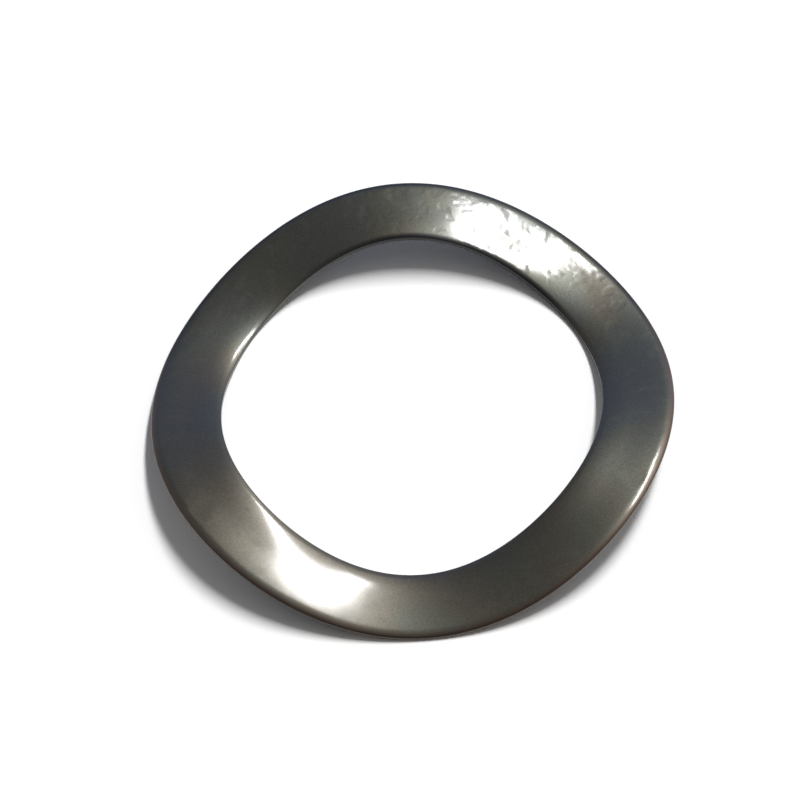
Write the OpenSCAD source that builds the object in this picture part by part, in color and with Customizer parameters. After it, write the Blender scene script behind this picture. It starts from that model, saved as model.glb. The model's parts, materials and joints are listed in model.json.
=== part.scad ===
// Wave spring washer: a closed ring of flat spring steel, pressed into even waves round its axis.
// It lies on its troughs at z = 0, its axis is Z, and one crest lies on +Y.

/* [Ring] */
// Outside diameter of the ring
outer_d = 25.5; // [16:0.1:60]
// Width of the strip, from the bore to the outer rim
face_w = 3.45; // [2:0.05:7]
// Thickness of the strip along its middle
strip_t = 0.4; // [0.36:0.01:1.2]

/* [Waves] */
// Number of waves round the ring
waves = 3; // [2:1:6]
// Height from a trough to a crest, measured on one face
wave_rise = 1.75; // [0.4:0.05:4]

/* [Faces and edges] */
// Width of the level middle of each face
flat_w = 1; // [0.4:0.05:1.4]
// Share of its thickness that the tumbled strip has lost at its rims
rim_wear = 0.5; // [0.05:0.05:0.6]
// How far the rounded edge reaches in from each rim
edge_reach = 0.28; // [0.15:0.01:0.5]
// How far the rounded edge falls, on a strip without rim wear
edge_drop = 0.12; // [0.05:0.01:0.14]

/* [Hidden] */

outer_r = outer_d / 2;
inner_r = outer_r - face_w;
middle_r = outer_r - face_w / 2;
free_height = wave_rise + strip_t;

// Direction of the first crest
crest_angle = 90;
// Cross-sections round the ring, an even number to each wave, with the crest lines midway between two of them
ring_steps = 144;
wave_steps = 2 * round(ring_steps / waves / 2);
sections = waves * wave_steps;
section_angle = 360 / sections;

// Chords along the worn part of each face, between the level middle and the rounded edge
wear_steps = 3;
// Chords along each rounded edge, and the turn at which the last of them starts
edge_steps = 4;
last_turn = 90 - 90 / edge_steps;
// Stock past each rim, so that trimming to the true diameter cuts the last chord halfway
last_gap = 1 - sin(last_turn);
trim = edge_reach * last_gap / (2 - last_gap);
// The rounded edge before it is trimmed
full_reach = edge_reach + trim;
full_drop = edge_drop / (1 - cos(last_turn) / 2);

// Sides of the trimming cylinders, and how far they run past the waves
rim_fn = 180;
overrun = 0.1;

// Height of the strip's middle at an angle: 0 across the troughs, wave_rise across the crests
function lift(angle) =
    let (swing = cos(waves * (angle - crest_angle)) / cos(waves * section_angle / 2))
    wave_rise / 2 * (1 + swing);

// Share of the thickness left at a distance from the strip's middle line: all of it across the level middle,
// and less towards the rims
function worn(distance) =
    let (past = max(0, distance - flat_w / 2) / (face_w / 2 - flat_w / 2))
    1 - rim_wear * past * past;

// Half of one face as [distance from the middle line, height], from the level middle out to the rim
function half_face() = [
    for (i = [0 : wear_steps - 1])
        let (distance = flat_w / 2 + (face_w / 2 - edge_reach - flat_w / 2) * i / wear_steps)
        [distance, worn(distance) * strip_t / 2],
    for (i = [0 : edge_steps])
        let (
            turn = 90 * i / edge_steps,
            distance = face_w / 2 + trim - full_reach * (1 - sin(turn))
        )
        [distance, worn(distance) * (strip_t / 2 - full_drop * (1 - cos(turn)))]
];

function reversed(list) = [for (i = [len(list) - 1 : -1 : 0]) list[i]];

// The strip's cross-section as [radius, height] about the middle of its thickness
function strip_section() =
    let (face = half_face())
    concat(
        [for (p = face) [middle_r + p.x, p.y]],
        [for (p = reversed(face)) [middle_r + p.x, -p.y]],
        [for (p = face) [middle_r - p.x, -p.y]],
        [for (p = reversed(face)) [middle_r - p.x, p.y]]
    );

// The cross-section carried round the axis along the waves
module waved_strip() {
    profile = strip_section();
    count = len(profile);
    points = [
        for (s = [0 : sections - 1])
            let (angle = crest_angle + section_angle * (s + 0.5))
            for (p = profile)
                [p.x * cos(angle), p.x * sin(angle), p.y + strip_t / 2 + lift(angle)]
    ];
    faces = [
        for (s = [0 : sections - 1], k = [0 : count - 1])
            let (
                here = s * count,
                next = (s + 1) % sections * count,
                after = (k + 1) % count
            )
            each [
                [here + k, here + after, next + after],
                [here + k, next + after, next + k]
            ]
    ];
    polyhedron(points, faces);
}

// The ring between the two true diameters, over the whole height of the waves
module ring_blank() {
    translate([0, 0, -overrun])
        difference() {
            cylinder(r = outer_r, h = free_height + 2 * overrun, $fn = rim_fn);
            translate([0, 0, -overrun])
                cylinder(r = inner_r, h = free_height + 4 * overrun, $fn = rim_fn);
        }
}

module wave_washer() {
    color("dimgray")
        intersection() {
            waved_strip();
            ring_blank();
        }
}

wave_washer();
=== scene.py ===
# %% [markdown]
# # A wave spring washer
#
# The object is one closed ring of thin spring steel, pressed into three waves. It is slipped over a
# shaft beside a bearing, and its waves push back when they are squeezed flat. There is nothing else to
# it, so the whole likeness lies in three things: the true form of the strip, a steel that is dark but
# still glossy, and a light that shows the waves by their reflections.
#
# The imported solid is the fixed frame. It gives the size and the place of everything that follows.

# %% Load the frame
import json
import math

import bmesh
import bpy
from mathutils import Matrix, Vector


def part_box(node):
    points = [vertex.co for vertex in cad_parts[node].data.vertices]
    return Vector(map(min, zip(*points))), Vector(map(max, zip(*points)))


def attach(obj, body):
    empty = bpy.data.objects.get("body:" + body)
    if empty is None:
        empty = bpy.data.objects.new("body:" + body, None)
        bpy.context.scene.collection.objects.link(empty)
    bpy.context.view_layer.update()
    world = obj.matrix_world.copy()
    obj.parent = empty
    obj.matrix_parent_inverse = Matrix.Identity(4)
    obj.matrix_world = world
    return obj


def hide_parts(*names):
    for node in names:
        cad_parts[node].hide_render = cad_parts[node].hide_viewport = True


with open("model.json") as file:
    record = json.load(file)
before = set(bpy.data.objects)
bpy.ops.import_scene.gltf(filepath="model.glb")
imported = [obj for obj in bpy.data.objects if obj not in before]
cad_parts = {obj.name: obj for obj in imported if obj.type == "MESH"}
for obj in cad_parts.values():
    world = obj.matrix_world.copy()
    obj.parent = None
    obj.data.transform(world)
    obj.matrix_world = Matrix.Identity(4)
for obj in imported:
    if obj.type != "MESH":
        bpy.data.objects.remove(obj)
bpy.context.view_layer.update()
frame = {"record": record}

MM = 0.001

low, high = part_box("wave_washer")
mounts = {mount["name"]: mount for mount in frame["record"]["mounts"]}
outer_r = high.x / MM
inner_r = mounts["shaft_bore"]["dims"]["r_mm"]
free_height = high.z / MM
print(f"outer radius {outer_r:.3f} mm, bore radius {inner_r:.3f} mm")
print(f"the washer reaches from {low.z / MM:.3f} to {free_height:.3f} mm above the floor")

# %% [markdown]
# ## The strip's cross-section
#
# The washer was blanked from strip and then tumbled with stones, which wears sharp edges round. The two
# rims didn't wear alike. The stones reach the outer one freely, so it is rounded over nearly its whole
# thickness, and further across the face than down the edge: each of its corners is a quarter of an
# ellipse. The bore is sheltered, and its corners are still almost sharp.
#
# The outline could be worked out point by point, but a bevel does that by itself. It makes circular
# corners only. The section is therefore drawn with its thickness stretched, its corners are bevelled as
# circles, and the stretch is then taken out again, which turns the circles into ellipses. The face in
# the outline is deleted, and the two long edges get points along them, so that they can be worn to shape.
#
# The work is done in millimetres, because the operators' tolerances suit numbers of that size. It is
# scaled to metres at the end.

# %% Draw the rounded section
strip_t = 0.4
outer_reach = 0.45
outer_drop = 0.18
outer_segments = 16
bore_reach = 0.08
bore_segments = 8
face_cuts = 39

width = outer_r - inner_r
stretch = outer_reach / outer_drop


def round_corners(corners, reach, segments):
    bmesh.ops.bevel(
        ring,
        geom=corners,
        offset=reach,
        offset_type="OFFSET",
        segments=segments,
        profile=0.5,
        affect="VERTICES",
        material=-1,
    )


ring = bmesh.new()
bmesh.ops.create_grid(ring, x_segments=1, y_segments=1, size=0.5)
bmesh.ops.scale(ring, verts=ring.verts, vec=(width, strip_t * stretch, 1))
round_corners([vert for vert in ring.verts if vert.co.x > 0], outer_reach, outer_segments)
round_corners([vert for vert in ring.verts if vert.co.x < 0], bore_reach, bore_segments)
bmesh.ops.scale(ring, verts=ring.verts, vec=(1, 1 / stretch, 1))

bmesh.ops.delete(ring, geom=ring.faces[:], context="FACES_ONLY")
long_edges = [edge for edge in ring.edges if edge.calc_length() > width / 2]
bmesh.ops.subdivide_edges(ring, edges=long_edges, cuts=face_cuts)
print(f"section: {len(ring.verts)} points, {width:.2f} mm wide and {strip_t} mm thick")

# %% [markdown]
# ## The wear across the upper face
#
# The upper face isn't level all the way across. It rolls over towards both rims, more so towards the
# bore, where it ends in a shallow bevel. The fall is little more than a tenth of a millimetre, too little
# to see as a shape, but a glossy face shows it at once: a highlight that would run straight across a flat
# face ends in slanted tips along the rims, and the bevel catches a bright streak of its own.
#
# Sculpting could give such a roll, but not a known slope. A formula does: nothing over the level middle,
# then the cube of the distance past it, and a straight slope for the bevel. Every point above the middle
# of the thickness is lowered by its share of that fall, and the underside stays as it was drawn. The
# section is then stood up at its radius, ready to be carried round the axis.

# %% Wear the upper face and stand the section up
flat_w = 0.4
outer_wear = 0.33
bore_wear = 0.56
bevel_w = 0.23
bevel_slope = 0.1
middle_r = (outer_r + inner_r) / 2


def face_fall(offset):
    past = max(0, abs(offset) - flat_w / 2) / (width / 2 - flat_w / 2)
    wear = outer_wear if offset > 0 else bore_wear
    bevel = bevel_slope * max(0, bevel_w - width / 2 - offset)
    return strip_t / 2 * wear * past**3 + bevel


for vert in ring.verts:
    if vert.co.y > 0:
        vert.co.y *= 1 - face_fall(vert.co.x) / (strip_t / 2)

bmesh.ops.rotate(ring, verts=ring.verts, matrix=Matrix.Rotation(math.pi / 2, 3, "X"))
bmesh.ops.translate(ring, verts=ring.verts, vec=(middle_r, 0, strip_t / 2))
bore_fall = face_fall(-width / 2)
rim_fall = face_fall(width / 2)
print(f"the upper face falls {bore_fall:.3f} mm to the bore and {rim_fall:.3f} mm to the outer rim")

# %% [markdown]
# ## The flat ring
#
# Before it is pressed, the washer is a flat ring with the same section all the way round. A torus could be
# squashed into something like it, but its section would be an oval. One spin of the outline about the
# axis keeps every corner as it was drawn.
#
# A full turn ends where it began, so the two ends are merged. A spin can also leave a mesh inside out, so
# the normals are recalculated once its doubles are gone.

# %% Spin the section round the axis
ring_steps = 480
merge_gap = 1e-4

bmesh.ops.spin(
    ring,
    geom=ring.verts[:] + ring.edges[:],
    cent=(0, 0, 0),
    axis=(0, 0, 1),
    angle=2 * math.pi,
    steps=ring_steps,
    use_merge=True,
)
bmesh.ops.remove_doubles(ring, verts=ring.verts, dist=merge_gap)
bmesh.ops.recalc_face_normals(ring, faces=ring.faces)
print(f"flat ring: {len(ring.verts)} points in {ring_steps} steps")

# %% [markdown]
# ## The waves
#
# A press with waved dies bends the flat ring. Its height follows a cosine of the angle, which is the shape
# that a strip takes between evenly spaced crests. One crest lies on +Y, as on the solid.
#
# Three small effects come on top, and the highlights show them all. The crest lines lean a little from the
# true radial direction, by crest_lean to each millimetre outwards. The waves grow a little towards the
# outside, by rise_growth to each millimetre. And a strip that is bent along its length curls the other way
# across its width, so the crests are slightly hollow and the troughs slightly domed. How far it curls is a
# share of its bend: 0.3 for springy bending of steel, 0.5 where it stays bent, and a value between them
# here.
#
# A lattice or a Curve modifier could bend the ring too, but only a formula gives the exact height. Each
# point is lifted by the wave at its own place. What would pass the floor or the free height is held there.

# %% Press the waves
waves = 3
crest_angle = math.pi / 2
wave_rise = free_height - strip_t
crest_lean = math.radians(-0.64)
rise_growth = 0.01
curl_share = 0.4
cross_curl = curl_share * wave_rise / 2 * (waves / middle_r) ** 2


def wave_height(angle, radius):
    out = radius - middle_r
    swing = math.cos(waves * (angle - crest_angle + crest_lean * out))
    wave = wave_rise / 2 * (1 + (1 + rise_growth * out) * swing)
    return wave + cross_curl / 2 * out**2 * swing


for vert in ring.verts:
    angle = math.atan2(vert.co.y, vert.co.x)
    radius = math.hypot(vert.co.x, vert.co.y)
    height = vert.co.z + wave_height(angle, radius)
    vert.co.z = min(max(0, height), free_height)

print(f"{waves} waves of {wave_rise:.2f} mm, curled by up to {cross_curl / 8 * width**2:.3f} mm across")

# %% [markdown]
# ## The finished piece
#
# The ring is scaled to metres, shaded smooth and put in the place of the imported node, on the same body.
# Its edges are modelled, so smooth shading needs no sharp edges marked. A closed mesh has two faces at each
# edge, which is worth counting before the mesh leaves the modeller.

# %% Hand the ring to the frame
bmesh.ops.scale(ring, verts=ring.verts, vec=(MM, MM, MM))
for face in ring.faces:
    face.smooth = True

mesh = bpy.data.meshes.new("washer_ring")
ring.to_mesh(mesh)
open_edges = sum(1 for edge in ring.edges if not edge.is_manifold)
volume = ring.calc_volume(signed=True) / MM**3
ring.free()

washer_ring = bpy.data.objects.new("washer_ring", mesh)
bpy.context.scene.collection.objects.link(washer_ring)
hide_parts("wave_washer")
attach(washer_ring, "root")
print(f"ring: {len(mesh.polygons)} faces, {open_edges} open edges, {volume:.1f} mm3")

# %% [markdown]
# ## The steel
#
# Spring steel comes out of hardening and tempering with a thin dark scale on it, and it is sold with a film
# of oil. The scale is dull, so it spreads each reflection wide. The oil film over it is smooth, so it adds
# a sharp but faint one. A highlight on such a washer therefore has a clear edge inside a soft glow.
#
# A single glossy layer can give the edge or the glow, but not both. The Principled shader has two layers: a
# dark, rather rough metal below, and a coat of ordinary oil on top. Neither is brighter than the real thing,
# so the washer keeps its look under another light.

# %% Start the steel and its oil film
steel = bpy.data.materials.new("spring_steel")
steel.use_nodes = True
tree = steel.node_tree
shader = tree.nodes["Principled BSDF"]
shader.inputs["Metallic"].default_value = 1.0
shader.inputs["Coat Weight"].default_value = 0.65
shader.inputs["Coat Roughness"].default_value = 0.15
shader.inputs["Coat IOR"].default_value = 1.5
washer_ring.data.materials.append(steel)
print(f"metal under a coat of weight {shader.inputs['Coat Weight'].default_value:.2f}")

# %% [markdown]
# ## Measures to paint by
#
# Patches, rims, painted shade and pits all depend on where a point lies on the washer. Object coordinates
# tell that, and they move with the part, which an image laid on it would need a UV map for. Three measures
# are
# enough: the distance from the axis, the distance along Y, and the distance towards the far side of the
# washer, about 20 degrees from +Y, where the oil has dried and where the bore's wall gets painted shade.

# %% Measure places on the washer
far_side_direction = (0.34, 0.94, 0)

place = tree.nodes.new("ShaderNodeTexCoord").outputs["Object"]


def vector_node(operation, second=None):
    node = tree.nodes.new("ShaderNodeVectorMath")
    node.operation = operation
    if second:
        node.inputs[1].default_value = second
    return node


split = tree.nodes.new("ShaderNodeSeparateXYZ")
tree.links.new(place, split.inputs["Vector"])
toward_y = split.outputs["Y"]

# This direction also places the painted shade on the bore's wall.
far_side_dot = vector_node("DOT_PRODUCT", far_side_direction)
tree.links.new(place, far_side_dot.inputs[0])
toward_far_side = far_side_dot.outputs["Value"]

flattened = vector_node("MULTIPLY", (1, 1, 0))
tree.links.new(place, flattened.inputs[0])
length = vector_node("LENGTH")
tree.links.new(flattened.outputs["Vector"], length.inputs[0])
from_axis = length.outputs["Value"]
print(f"{len(tree.nodes)} nodes so far")

# %% [markdown]
# ## The colour of the scale
#
# The scale isn't one grey. It has brownish, olive and greyer patches a few millimetres across, where the
# furnace left it thicker or thinner. They are browner towards -Y, and a fine grain lies on top of them.
#
# An image could hold the patches, but it would have to be drawn first and would stretch at the edges. Here
# they are a soft noise led through a colour ramp, and a shift along Y makes one side browner. The grain is
# a second noise, fifty times finer, that only scales the brightness.

# %% Colour the scale
brown_scale = (0.0672, 0.0613, 0.0502)
olive_scale = (0.0625, 0.063, 0.0518)
grey_scale = (0.0605, 0.063, 0.0565)
patch_size = 3.5
grain_size = 0.07
grain_share = 0.16
noise_low = 0.3
noise_high = 0.7
brown_y = -8 * MM
grey_y = 8 * MM
brown_shift = -0.1
grey_shift = 0.08


def add_noise(size_mm, detail):
    noise = tree.nodes.new("ShaderNodeTexNoise")
    noise.inputs["Scale"].default_value = 1 / (size_mm * MM)
    noise.inputs["Detail"].default_value = detail
    tree.links.new(place, noise.inputs["Vector"])
    return noise.outputs["Fac"]


def map_range(value, from_low, from_high, to_low, to_high):
    node = tree.nodes.new("ShaderNodeMapRange")
    tree.links.new(value, node.inputs["Value"])
    node.inputs["From Min"].default_value = from_low
    node.inputs["From Max"].default_value = from_high
    node.inputs["To Min"].default_value = to_low
    node.inputs["To Max"].default_value = to_high
    return node.outputs["Result"]


def calculated(operation, first, second):
    node = tree.nodes.new("ShaderNodeMath")
    node.operation = operation
    tree.links.new(first, node.inputs[0])
    tree.links.new(second, node.inputs[1])
    return node.outputs["Value"]


def add_ramp(node_tree, value, stops):
    ramp = node_tree.nodes.new("ShaderNodeValToRGB")
    node_tree.links.new(value, ramp.inputs["Fac"])
    elements = ramp.color_ramp.elements
    while len(elements) < len(stops):
        elements.new(1.0)
    for element, (position, colour) in zip(elements, stops):
        element.position = position
        element.color = (*colour, 1)
    return ramp.outputs["Color"]


shift = map_range(toward_y, brown_y, grey_y, brown_shift, grey_shift)
scale_stops = [(0.4, brown_scale), (0.52, olive_scale), (0.68, grey_scale)]
patches = add_ramp(tree, calculated("ADD", add_noise(patch_size, 2), shift), scale_stops)

grain = map_range(add_noise(grain_size, 1), noise_low, noise_high, 1 - grain_share, 1 + grain_share)
grained = vector_node("SCALE")
tree.links.new(patches, grained.inputs[0])
tree.links.new(grain, grained.inputs["Scale"])
print(f"patches of {patch_size} mm under a grain of {grain_size} mm")

# %% [markdown]
# ## The rims
#
# The rims are coloured apart from the face. The outer rim is brown towards -Y. Towards +Y it is painted
# nearly black, and so is the wall of the bore, but only on the far side: painted shade, for the dark
# surroundings and the shadowed floor that these faces mirror.
#
# The rims could have a second material, with its border along an edge of the mesh, but the rim colour and
# the painted shade fade out over a few tenths of a millimetre. So the distance from the axis mixes them into
# the colour of the face.

# %% Darken the rims
# The near-black rim colour is painted shade, not a colour of the steel.
painted_shade_black = (0.012, 0.011, 0.012)
rim_brown = (0.1, 0.075, 0.059)
rim_w = 0.3
line_w = 0.1
shade_full_y = 6 * MM
wall_fades_in = 5.5 * MM
wall_is_black = 8.5 * MM


def mixed(first, second, share):
    node = tree.nodes.new("ShaderNodeMix")
    node.data_type = "RGBA"
    tree.links.new(share, node.inputs[0])
    tree.links.new(first, node.inputs[6])
    tree.links.new(second, node.inputs[7])
    return node.outputs[2]


# The rim colour darkens towards +Y: painted shade.
shade_share = map_range(toward_y, 0, shade_full_y, 0, 1)
rim_colour_and_shade = add_ramp(tree, shade_share, [(0, rim_brown), (1, painted_shade_black)])
outer_rim = map_range(from_axis, (outer_r - rim_w) * MM, (outer_r - line_w) * MM, 0, 1)
bore_rim = map_range(from_axis, (inner_r + line_w) * MM, (inner_r + rim_w) * MM, 1, 0)
# Painted shade on the bore's wall, on the far side only.
far_wall_shade = map_range(toward_far_side, wall_fades_in, wall_is_black, 0, 1)

face_and_rim = mixed(grained.outputs["Vector"], rim_colour_and_shade, outer_rim)
# The base colour takes the painted shade of the rims.
scale_and_shade_colour = mixed(face_and_rim, rim_colour_and_shade, calculated("MULTIPLY", bore_rim, far_wall_shade))
tree.links.new(scale_and_shade_colour, shader.inputs["Base Color"])
print(f"the rims fade out between {line_w} and {rim_w} mm from the edge")

# %% [markdown]
# ## The mottle
#
# The oil has dried in places and the scale under it is pitted, so a highlight is broken up by small grey
# specks, a few tenths of a millimetre across. They show most on the dry side and near the outer rim, and
# hardly at all on the opposite side.
#
# Specks painted as colour would show everywhere. Real ones show only where the light is mirrored, because
# the surface there is tilted by a degree or two. So they are bump: a noise of that size, a few thousandths
# of a millimetre deep, that grows stronger towards the dry side. The same noise makes the pits a little
# rougher.

# %% Pit the surface
pit_size = 0.7
pit_depth = 0.007
pit_starts = 0.52
pit_ends = 0.78
fewer_at_bore = -0.07
more_at_rim = 0.09
face_roughness = 0.43
pit_roughness = 0.47
oiled_place = -4 * MM
dried_place = 9 * MM
oiled_strength = 0.1

outward = map_range(from_axis, inner_r * MM, outer_r * MM, fewer_at_bore, more_at_rim)
pit_noise = calculated("ADD", add_noise(pit_size, 1), outward)
pit_height = map_range(pit_noise, pit_starts, pit_ends, 1, 0)
pitted_roughness = map_range(pit_height, 0, 1, pit_roughness, face_roughness)
tree.links.new(pitted_roughness, shader.inputs["Roughness"])

bump = tree.nodes.new("ShaderNodeBump")
bump.inputs["Distance"].default_value = pit_depth * MM
dryness = map_range(toward_far_side, oiled_place, dried_place, oiled_strength, 1)
tree.links.new(dryness, bump.inputs["Strength"])
tree.links.new(pit_height, bump.inputs["Height"])
tree.links.new(bump.outputs["Normal"], shader.inputs["Normal"])
tree.links.new(bump.outputs["Normal"], shader.inputs["Coat Normal"])
print(f"pits from a noise of {pit_size} mm, up to {pit_depth * 1000:.0f} thousandths of a mm deep")

# %% [markdown]
# ## The floor
#
# The washer lies on a plain white sheet. A sheet that curves up at the back is the usual studio floor, but
# this camera looks down and never sees the far end, so a flat disc is enough.
#
# The white is the sheet's own colour, and not more light, so the washer isn't lit too brightly. The sheet
# is wholly matt, and takes the washer's shadow without a shine of its own.

# %% Lay the floor
floor_r = 3.0

floor_bm = bmesh.new()
bmesh.ops.create_circle(floor_bm, cap_ends=True, segments=96, radius=floor_r)
floor_mesh = bpy.data.meshes.new("floor")
floor_bm.to_mesh(floor_mesh)
floor_bm.free()
floor = bpy.data.objects.new("floor", floor_mesh)
bpy.context.scene.collection.objects.link(floor)

paper = bpy.data.materials.new("white_paper")
paper.use_nodes = True
paper_shader = paper.node_tree.nodes["Principled BSDF"]
paper_shader.inputs["Base Color"].default_value = (0.99, 0.99, 0.99, 1)
paper_shader.inputs["Roughness"].default_value = 1.0
paper_shader.inputs["Specular IOR Level"].default_value = 0.0
floor.data.materials.append(paper)
print(f"floor: a white disc {2 * floor_r:.0f} m across")

# %% [markdown]
# ## The lamp
#
# A bent, glossy strip shows its lamp more than once, so the lamp's own shape can be read from the two
# highlights. It is a long narrow one, about 7 by 27 degrees, high up to the right and behind the washer.
# Its length lies away from the viewer, and the shadow to the lower left points back at it.
#
# Several lamps could share the work, but one area lamp does all of it: it lights the floor, casts the shadow
# and is mirrored in the steel. Its energy is worked out from the share of the floor's light that it should
# give, so the floor comes out white and not brighter. The Standard view then shows colours as they are
# written.

# %% Hang the lamp
scene = bpy.context.scene
scene.view_settings.view_transform = "Standard"

lamp_direction = Vector((0.327, 0.379, 0.866)).normalized()
lamp_distance = 1.2
lamp_half_width = 0.058
lamp_half_length = 0.235
lamp_heading = math.radians(4.6)
lamp_share = 0.83

heading = Vector((math.sin(lamp_heading), math.cos(lamp_heading), 0))
long_axis = (heading - heading.dot(lamp_direction) * lamp_direction).normalized()
short_axis = long_axis.cross(lamp_direction)

lamp_data = bpy.data.lights.new("strip_lamp", "AREA")
lamp_data.shape = "RECTANGLE"
lamp_data.size = 2 * lamp_half_width * lamp_distance
lamp_data.size_y = 2 * lamp_half_length * lamp_distance
lamp_data.energy = lamp_share * math.pi**2 * lamp_distance**2 / lamp_direction.z
lamp = bpy.data.objects.new("strip_lamp", lamp_data)
lamp_turn = Matrix((short_axis, long_axis, lamp_direction)).transposed().to_4x4()
lamp.matrix_world = Matrix.Translation(lamp_direction * lamp_distance) @ lamp_turn
scene.collection.objects.link(lamp)
print(f"lamp {lamp_data.size:.2f} by {lamp_data.size_y:.2f} m, {lamp_data.energy:.1f} W")

# %% [markdown]
# ## The room
#
# The rest of the light is a dim room, brighter to the right and darker in front, with bluish daylight at
# the back. It fills the shadow, and it tints the two slopes of the washer that lean away from the viewer.
#
# A picture of a studio could light it too, but three ramps over the direction of view are enough. One runs
# from left to right and one darkens the front, and they are multiplied. The third adds the daylight.

# %% Light the room
left_wall = (0.367, 0.363, 0.36)
middle_wall = (0.209, 0.204, 0.195)
right_wall = (0.99, 0.965, 0.935)
dark_front = (0.15, 0.15, 0.15)
full_light = (1, 1, 1)
no_light = (0, 0, 0)
daylight = (0.03, 0.11, 0.36)

world = bpy.data.worlds.new("room")
scene.world = world
world.use_nodes = True
room = world.node_tree
looking = room.nodes.new("ShaderNodeSeparateXYZ")
room.links.new(room.nodes.new("ShaderNodeTexCoord").outputs["Generated"], looking.inputs["Vector"])


def from_minus_one(value):
    node = room.nodes.new("ShaderNodeMapRange")
    node.inputs["From Min"].default_value = -1
    room.links.new(value, node.inputs["Value"])
    return node.outputs["Result"]


def combined(operation, first, second):
    node = room.nodes.new("ShaderNodeVectorMath")
    node.operation = operation
    room.links.new(first, node.inputs[0])
    room.links.new(second, node.inputs[1])
    return node.outputs["Vector"]


sideways = from_minus_one(looking.outputs["X"])
backwards = from_minus_one(looking.outputs["Y"])
walls = add_ramp(room, sideways, [(0, left_wall), (0.55, middle_wall), (1, right_wall)])
shade = add_ramp(room, backwards, [(0.1, dark_front), (0.6, full_light), (1, full_light)])
window = add_ramp(room, backwards, [(0, no_light), (0.8, no_light), (0.95, daylight)])
room_light = combined("ADD", combined("MULTIPLY", walls, shade), window)
room.links.new(room_light, room.nodes["Background"].inputs["Color"])
print(f"room: {left_wall} at the left, {right_wall} at the right, {daylight} more at the back")

# %% [markdown]
# ## The camera
#
# The picture itself says where it was taken from: by the pixel at which the middle of the ring lies, by the
# pixels that its diameter takes up, by the distance in diameters, which sets how much the near side grows,
# and by three angles.
#
# A Track To constraint would aim a camera at the ring, but it can neither roll it nor set the ring off
# centre. A matrix of the camera's own three axes does both. The lens follows from the size of the ring in
# the picture.

# %% Place the camera
frame_w = 800
frame_h = 792
ring_pixel = (411.4, 399.9)
pixels_per_diameter = 524.1
distance_in_diameters = 6.34
azimuth = math.radians(-87.6)
elevation = math.radians(55.8)
roll = math.radians(5.84)

outer_d = 2 * outer_r * MM
centre = Vector((0, 0, (wave_rise / 2 + strip_t) * MM))
level_back = Vector((math.cos(azimuth), math.sin(azimuth), 0))
back = math.cos(elevation) * level_back + Vector((0, 0, math.sin(elevation)))
level_right = Vector((-math.sin(azimuth), math.cos(azimuth), 0))
level_up = back.cross(level_right)
right = math.cos(roll) * level_right - math.sin(roll) * level_up
up = math.sin(roll) * level_right + math.cos(roll) * level_up

pixel = outer_d / pixels_per_diameter
aside = (ring_pixel[0] - frame_w / 2) * pixel
below = (ring_pixel[1] - frame_h / 2) * pixel
distance = distance_in_diameters * outer_d

camera_data = bpy.data.cameras.new("camera")
camera_data.sensor_fit = "HORIZONTAL"
camera_data.lens = camera_data.sensor_width * pixels_per_diameter * distance_in_diameters / frame_w
camera_data.clip_start = 0.001
camera = bpy.data.objects.new("camera", camera_data)
camera_turn = Matrix((right, up, back)).transposed().to_4x4()
camera_place = centre + back * distance - right * aside + up * below
camera.matrix_world = Matrix.Translation(camera_place) @ camera_turn
scene.collection.objects.link(camera)
scene.camera = camera
print(f"camera {distance:.3f} m from the ring, with a lens of {camera_data.lens:.0f} mm")
